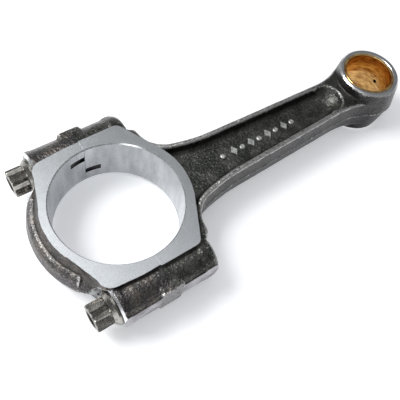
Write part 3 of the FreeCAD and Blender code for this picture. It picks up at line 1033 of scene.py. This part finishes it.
@dataclass
class RodForging(Forging):
    """The rod itself, with its beam, small-end eye and the upper half of the big end."""

    eye_bore: float = 13.9 * MM
    eye_edge: float = 0.35 * MM
    rim_radius: float = 15.75 * MM
    rim_shift: float = 0.5 * MM
    rim_edge: float = 1.15 * MM
    rim_overrun: float = 1.2 * MM
    rim_reach: float = 26 * MM
    eye_sleeve_half: float = 16 * MM
    eye_sleeve_inner: float = 12 * MM
    eye_sleeve_outer: float = 14.6 * MM
    eye_stock: tuple[float, float, float, float] = (120 * MM, 190 * MM, 30 * MM, 25 * MM)
    oil_length: float = 30 * MM
    oil_radius: float = 1.1 * MM
    oil_height: float = 1.0 * MM
    web_top: float = 3.2 * MM
    mark_start: float = 66 * MM
    mark_step: float = 5.4 * MM
    mark_count: int = 8
    mark_root: float = 1 * MM
    mark_height: float = 0.65 * MM
    dot_radius: float = 1.45 * MM
    dot_edge: float = 0.35 * MM
    lozenge_wide: float = 3.8 * MM
    lozenge_tall: float = 5.2 * MM
    pip_x: float = 59.3 * MM

    def plugs(self) -> list[bmesh.types.BMesh]:
        """Fill the eye as well as the big end's bore and holes."""
        eye = sleeve(self.eye_sleeve_half, self.eye_sleeve_inner, self.eye_sleeve_outer, EYE_X, 96)
        return super().plugs() + [eye]

    def rim_tool(self, side: int) -> bmesh.types.BMesh:
        """Shape the cutter that breaks the outer edge of one face of the eye.

        Args:
            side: 1 for the upper face, -1 for the lower.

        Returns:
            The tool.
        """
        start, end = side * (SMALL_HALF + self.rim_overrun), side * (SMALL_HALF - self.rim_edge)
        path = [(start, self.rim_radius - self.rim_overrun), (end, self.rim_radius + self.rim_edge),
                (end, self.rim_reach), (start, self.rim_reach)]
        return spun(path, Axis.Z, Vector((EYE_X + self.rim_shift, 0, 0)), 128, Surface.BRIGHT)

    def tools(self) -> list[bmesh.types.BMesh]:
        """Add the small end's faces, bore, edges and oil hole to the shared cuts.

        Returns:
            The tools, in the order of cutting.
        """
        cuts = super().tools()
        near, far, across, top = self.eye_stock
        for side in (1, -1):
            low, high = sorted((side * SMALL_HALF, side * top))
            cuts.append(block((near, -across, low), (far, across, high), Surface.FACE))
            cuts.append(self.rim_tool(side))
        end = EYE_X + self.oil_length
        hole = [(EYE_X, 0), (EYE_X, self.oil_radius), (end, self.oil_radius), (end, 0)]
        cuts.append(boring(SMALL_HALF, self.eye_bore, self.eye_edge, EYE_X, 128))
        # the oil hole takes the near-black painted shade
        cuts.append(spun(hole, Axis.X, Vector((0, 0, self.oil_height)), 32, Surface.RECESS_SHADE))
        return cuts

    def mark(self, index: int) -> bmesh.types.BMesh:
        """Shape one raised mark of the row on the web, a lozenge or a dot by turns.

        Args:
            index: Its number in the row.

        Returns:
            The mark.
        """
        x = self.mark_start + index * self.mark_step
        foot, top = self.web_top - self.mark_root, self.web_top + self.mark_height
        if index % 2:
            radius, edge = self.dot_radius, self.dot_edge
            shape = [(foot, 0), (foot, radius), (top - edge, radius), (top, radius - edge), (top, 0)]
            return spun(shape, Axis.Z, Vector((x, 0, 0)), 28, Surface.MARK)
        wide, tall = self.lozenge_wide / 2, self.lozenge_tall / 2
        corners = [(x - wide, 0), (x, -tall), (x + wide, 0), (x, tall)]
        return prism(corners, foot, top, Surface.MARK)

    def raised(self) -> list[bmesh.types.BMesh]:
        """Shape the small pip on the web and the row of plain marks.

        Returns:
            The shapes to add.
        """
        foot = self.web_top - self.mark_root
        pip = [(foot, 0), (foot, 1.8 * MM), (self.web_top + 0.6 * MM, 1.5 * MM),
               (self.web_top + 1 * MM, 0.9 * MM), (self.web_top + 1.1 * MM, 0)]
        marks = [self.mark(index) for index in range(self.mark_count)]
        return [spun(pip, Axis.Z, Vector((self.pip_x, 0, 0)), 32, Surface.SKIN), *marks]


@dataclass
class CapForging(Forging):
    """The cap, with its strap and the seats of the two screws."""

    seat_x: float = 23.2 * MM
    relief: float = 9.9 * MM
    seat_edge: float = 1.1 * MM
    seat_land: float = 0.3 * MM
    seat_overrun: float = 0.2 * MM
    head_room: float = 45 * MM

    def tools(self) -> list[bmesh.types.BMesh]:
        """Break the outer edge of the two seats after the shared cuts.

        Returns:
            The tools, in the order of cutting.
        """
        cuts = super().tools()
        start, end = -self.seat_x - self.seat_overrun, self.seat_edge - self.seat_x
        radius = self.relief - self.seat_land
        outside = radius + 1.4 * self.seat_edge
        path = [(start, radius - self.seat_overrun), (end, radius + self.seat_edge),
                (end, outside), (start, outside)]
        for side in (1, -1):
            cuts.append(spun(path, Axis.X, Vector((0, side * BOLT_Y, 0)), 72, Surface.BRIGHT))
        return cuts

    def hole_profile(self) -> list[Point]:
        """Add the screw head's seat to the hole.

        Returns:
            Points of (along X, radius).
        """
        start = super().hole_profile()[:4]
        return start + [(-self.seat_x, self.bolt_bore), (-self.seat_x, self.relief),
                        (-self.head_room, self.relief), (-self.head_room, 0)]


# ---------------------------------------------------------------------------------------------
# Turned pieces
# ---------------------------------------------------------------------------------------------

# slot of the second finish of a bush or a screw, inside its hole: a near-black painted shade
RECESS_SHADE_SLOT = 1


@dataclass
class Bush:
    """The bronze bush of the small end."""

    inner: float = 12.573 * MM
    outer: float = 13.9 * MM
    edge: float = 0.5 * MM
    outer_edge: float = 0.1 * MM
    oil_radius: float = 1.1 * MM
    oil_height: float = 1.0 * MM
    drill_start: float = 5 * MM
    drill_end: float = 20 * MM

    def build(self, material: bpy.types.Material, dark: bpy.types.Material) -> bpy.types.Object:
        """Make the bush.

        Args:
            material: Finish of the bronze.
            dark: Finish inside the oil hole, a near-black painted shade.

        Returns:
            The piece.
        """
        half = [(SMALL_HALF - self.outer_edge, self.outer),
                (SMALL_HALF, self.outer - self.outer_edge), (SMALL_HALF, self.inner + self.edge),
                (SMALL_HALF - self.edge * 0.4, self.inner + self.edge * 0.25),
                (SMALL_HALF - self.edge, self.inner)]
        tube = spun(mirrored(half), Axis.Z, Vector((EYE_X, 0, 0)), 160)
        obj = object_from("small_end_bush", tube)
        obj.data.materials.append(material)
        obj.data.materials.append(dark)
        start, end = EYE_X + self.drill_start, EYE_X + self.drill_end
        hole = [(start, 0), (start, self.oil_radius), (end, self.oil_radius), (end, 0)]
        # the oil hole's wall takes the near-black painted shade
        drill = spun(hole, Axis.X, Vector((0, 0, self.oil_height)), 32, RECESS_SHADE_SLOT)
        work(obj, drill, Operation.CUT)
        shade_smooth(obj, 30.0)
        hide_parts("pin_bushing")
        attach(obj, "rod")
        return obj


@dataclass
class CapScrew:
    """A twelve-point cap screw with a helical thread."""

    label: str
    sign: int
    seat: float = -23.2 * MM
    head_end: float = -33.8 * MM
    tip: float = 21.3 * MM
    thread_start: float = 1.0 * MM
    crest: float = 5.55 * MM
    root_depth: float = 0.62 * MM
    pitch: float = 1.27 * MM
    shank: float = 4.9 * MM
    flange: float = 8.3 * MM
    flange_rim: float = 1.1 * MM
    flange_cone: float = 3.0 * MM
    across: float = 11.1 * MM
    top_radius: float = 6.45 * MM
    top_edge: float = 0.9 * MM
    dimple: float = 4.0 * MM
    dimple_depth: float = 1.4 * MM
    flute: float = 1.7
    edge: float = 0.2 * MM
    dish_edge: float = 0.25 * MM
    fillet: float = 0.4 * MM
    runout: float = 0.7 * MM
    tip_edge: float = 0.9 * MM
    tip_length: float = 1.2 * MM
    slack: float = 0.05 * MM
    rows_a_turn: int = 8
    steps: int = 96

    def profile(self) -> list[Point]:
        """Outline the turned shape, from the dimple to the tip.

        Returns:
            Points of (along X, radius).
        """
        flat, end, seat = self.across / 2, self.head_end, self.seat
        floor, rim, cone = end + self.dimple_depth, seat - self.flange_rim, seat - self.flange_cone
        points = [(floor, 0), (floor, self.dimple * 0.8),
                  (end + self.dish_edge, self.dimple), (end, self.dimple + self.dish_edge)]
        points += [(end, flat - 0.7 * MM), (end + 0.12 * MM, flat - 0.3 * MM)]
        points += [(end + share * self.top_edge, flat) for share in (0.4, 0.7, 1.0)]
        points += [(cone - self.dish_edge, flat), (cone, flat + self.dish_edge)]
        points += [(cone + 0.1 * MM, flat + 1.0 * MM), (rim - self.edge, self.flange - self.edge)]
        points += [(rim, self.flange), (seat - self.edge, self.flange)]
        points += [(seat, self.flange - self.edge), (seat, self.shank + self.fillet)]
        points += [(seat + self.fillet, self.shank), (self.thread_start - self.runout, self.shank)]
        step = self.pitch / self.rows_a_turn
        rows = int((self.tip - self.thread_start) / step)
        points += [(self.thread_start + row * step, self.crest) for row in range(rows)]
        return points + [(self.tip, self.crest - self.tip_edge), (self.tip, 0)]

    def thread(self, x: np.ndarray, radius: np.ndarray, angle: np.ndarray) -> np.ndarray:
        """Cut the helical thread, which fades at its start and tapers at the tip.

        Args:
            x: Place of each vertex along the screw.
            radius: Its distance from the axis.
            angle: Its angle round the axis.

        Returns:
            Its new distance from the axis.
        """
        turn = (x / self.pitch - angle / math.tau) % 1
        cut = self.root_depth * np.abs(2 * turn - 1)
        fade = ramp(x, self.thread_start, self.thread_start + 2 * self.pitch)
        tip = ramp(x, self.tip - self.tip_length, self.tip) * self.tip_edge
        threaded = (radius > self.crest - self.slack) & (x > self.thread_start - 2 * self.slack)
        return np.where(threaded, radius - np.maximum(cut * fade, tip), radius)

    def points(self, x: np.ndarray, angle: np.ndarray) -> np.ndarray:
        """Give the outline of the twelve points, bevelled at the head's end.

        Args:
            x: Place of each vertex along the screw.
            angle: Its angle round the axis.

        Returns:
            The head's distance from the axis there.
        """
        flat, sixth = self.across / 2, math.pi / 6
        hexagons = [1 / np.cos((angle + shift) % (2 * sixth) - sixth) for shift in (0, sixth)]
        tip = flat / math.cos(sixth)
        star = tip - (tip - np.maximum(*hexagons) * flat) * self.flute
        bevel = self.top_radius - self.top_edge + x - self.head_end + self.dish_edge
        return np.minimum(star, np.maximum(bevel, flat - self.edge))

    def shape(self, obj: bpy.types.Object) -> None:
        """Cut the thread and the twelve points.

        Args:
            obj: The turned screw.
        """
        rows = coordinates(obj.data)
        x, y, z = rows[:, 0], rows[:, 1] - self.sign * BOLT_Y, rows[:, 2]
        radius, angle = np.hypot(y, z), np.arctan2(z, y)
        head = ((radius > self.across / 2 - self.slack)
                & (x < self.seat - self.flange_cone - 2 * self.slack))
        new = np.where(head, self.points(x, angle), self.thread(x, radius, angle))
        share = np.divide(new, radius, out=np.ones_like(radius), where=radius > 1e-7)
        rows[:, 1] = self.sign * BOLT_Y + y * share
        rows[:, 2] = z * share
        place(obj.data, rows)

    def build(self, material: bpy.types.Material, dark: bpy.types.Material) -> bpy.types.Object:
        """Make the screw.

        Args:
            material: Its finish.
            dark: Finish of the sunk end of its head, a near-black painted shade.

        Returns:
            The piece.
        """
        centre = Vector((0, self.sign * BOLT_Y, 0))
        obj = object_from(f"cap_screw_{self.label}", spun(self.profile(), Axis.X, centre, self.steps))
        self.shape(obj)
        obj.data.materials.append(material)
        obj.data.materials.append(dark)
        for face in obj.data.polygons:
            middle = face.center - centre
            # the sunk end of the head takes the near-black painted shade
            sunk = math.hypot(middle.y, middle.z) < self.dimple and middle.x < self.seat
            face.material_index = RECESS_SHADE_SLOT if sunk else 0
        shade_smooth(obj, 26.0)
        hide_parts(f"cap_bolt_{self.label}")
        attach(obj, f"bolt_{self.label}")
        return obj


@dataclass
class Dowel:
    """A hollow dowel that lines up rod and cap round one screw."""

    label: str
    sign: int
    outer: float = 6.75 * MM
    inner: float = 5.9 * MM
    reach: float = 4.6 * MM
    edge: float = 0.3 * MM

    def build(self, material: bpy.types.Material) -> bpy.types.Object:
        """Make the dowel.

        Args:
            material: Its finish.

        Returns:
            The piece.
        """
        bevel = self.edge / 2
        half = [(self.reach, self.inner + bevel), (self.reach, self.outer - self.edge),
                (self.reach - self.edge, self.outer)]
        path = mirrored(half) + [(bevel - self.reach, self.inner), (self.reach - bevel, self.inner)]
        centre = Vector((0, self.sign * BOLT_Y, 0))
        obj = object_from(f"hollow_dowel_{self.label}", spun(path, Axis.X, centre, 96))
        obj.data.materials.append(material)
        shade_smooth(obj, 30.0)
        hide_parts(f"dowel_{self.label}")
        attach(obj, "rod")
        return obj


# ---------------------------------------------------------------------------------------------
# Studio
# ---------------------------------------------------------------------------------------------

@dataclass
class Studio:
    """Pale floor, soft lights and the camera."""

    eye: Vector = field(default_factory=lambda: Vector((-60.15, -96.88, 219.93)) * MM)
    heading: float = 39.913
    dip: float = 59.616
    roll: float = 17.54
    lens: float = 48.6
    shift_x: float = -0.011
    floor_z: float = -SMALL_HALF
    floor_half: float = 1.5

    def floor(self) -> None:
        """Lay the floor."""
        bm = bmesh.new()
        bmesh.ops.create_grid(bm, x_segments=1, y_segments=1, size=self.floor_half,
                              matrix=Matrix.Translation((0, 0, self.floor_z)))
        obj = object_from("studio_floor", bm)
        kit = NodeKit("pale_floor")
        cloud = kit.reach(kit.noise(120.0, 2.0), 0.3, 0.7)
        tone = kit.mix(cloud, (0.86, 0.87, 0.88), (0.88, 0.88, 0.89))
        kit.shader.inputs["Specular IOR Level"].default_value = 0.15
        kit.shader.inputs["Emission Color"].default_value = (0.95, 0.97, 1.0, 1.0)
        kit.shader.inputs["Emission Strength"].default_value = 0.36
        obj.data.materials.append(kit.finish(tone, 0.8, kit.bump(kit.noise(3.0), 0.01), 0.0))

    def light(self, name: str, spot: Sequence[float], aim: Sequence[float], size: Point,
              power: float, colour: Colour = (1.0, 1.0, 1.0)) -> None:
        """Hang one soft box.

        Args:
            name: Name of the light.
            spot: Where it hangs.
            aim: Where it points.
            size: Width and height.
            power: Power, in watts.
            colour: Its colour.
        """
        data = bpy.data.lights.new(name, "AREA")
        data.shape = "RECTANGLE"
        data.size, data.size_y = size
        data.energy = power
        data.color = colour
        lamp = bpy.data.objects.new(name, data)
        bpy.context.scene.collection.objects.link(lamp)
        way = Vector(aim) - Vector(spot)
        turned = way.to_track_quat("-Z", "Y").to_matrix().to_4x4()
        lamp.matrix_world = Matrix.Translation(spot) @ turned

    def lights(self) -> None:
        """Hang the lights and set the surroundings."""
        centre = (0.06, 0, 0)
        self.light("key_box", (-0.30, 0.32, 0.58), centre, (0.36, 0.36), 5.0)
        self.light("sky_box", (-0.03, 0.12, 0.75), centre, (0.55, 0.55), 1.0, (0.96, 0.98, 1.0))
        self.light("side_box", (-0.45, -0.40, 0.30), centre, (0.20, 0.5), 0.7, (0.96, 0.98, 1.0))
        world = bpy.data.worlds.new("studio_air")
        world.use_nodes = True
        shade = world.node_tree.nodes["Background"]
        shade.inputs["Color"].default_value = (0.97, 0.98, 1.0, 1.0)
        shade.inputs["Strength"].default_value = 0.24
        bpy.context.scene.world = world

    def camera(self) -> None:
        """Set up the camera."""
        heading, dip, roll = (math.radians(turn) for turn in (self.heading, self.dip, self.roll))
        forward = Vector((math.cos(heading) * math.cos(dip), math.sin(heading) * math.cos(dip),
                          -math.sin(dip)))
        level = Vector((math.sin(heading), -math.cos(heading), 0))
        right = level * math.cos(roll) + level.cross(forward) * math.sin(roll)
        frame_axes = Matrix((right, right.cross(forward), -forward)).transposed()
        data = bpy.data.cameras.new("camera")
        data.lens = self.lens
        data.shift_x = self.shift_x
        data.clip_start = 0.01
        obj = bpy.data.objects.new("camera", data)
        obj.matrix_world = Matrix.Translation(self.eye) @ frame_axes.to_4x4()
        bpy.context.scene.collection.objects.link(obj)
        bpy.context.scene.camera = obj

    def build(self) -> None:
        """Make the studio."""
        self.floor()
        self.lights()
        self.camera()
        bpy.context.scene.view_settings.view_transform = "Standard"


def make_forgings() -> tuple[RodForging, CapForging]:
    """Describe the two forgings and where their stock lies.

    Returns:
        The rod and the cap.
    """
    far = 60 * MM
    shared = [Allowance(2, side, BIG_HALF, -far, far) for side in (1, -1)]
    shared += [Allowance(1, side, TRIM_Y, -far, far) for side in (1, -1)]
    eye = [Allowance(2, side, SMALL_HALF, 100 * MM, 200 * MM) for side in (1, -1)]
    joint_rod = Allowance(0, -1, 0.0, -far, far)
    joint_cap = Allowance(0, 1, 0.0, -far, far)
    rod = RodForging("rod_body", "forged_rod", "rod", "forged_rod", 1,
                     allowances=[*shared, *eye, joint_rod])
    cap = CapForging("rod_cap", "forged_cap", "cap", "forged_cap", -1, voxel=0.42 * MM,
                     bolt_bore=5.8 * MM, dowel_bore=6.78 * MM, notch_height=5.6 * MM,
                     allowances=[*shared, joint_cap])
    return rod, cap


def main() -> None:
    """Build the rod's pieces in order, then the studio."""
    logging.basicConfig(level=logging.INFO, format="%(message)s")
    finishes = Finishes()
    rod, cap = make_forgings()
    rod.build(finishes.forging(finishes.rod_skin))
    cap.build(finishes.forging(finishes.cap_skin))
    Bush().build(finishes.bronze, finishes.recess_shade)
    for label, sign in (("upper", 1), ("lower", -1)):
        CapScrew(label, sign).build(finishes.screw, finishes.recess_shade)
        Dowel(label, sign).build(finishes.dowel)
        LOG.info("%s screw and dowel done", label)
    Studio().build()


if __name__ == "__main__":
    main()
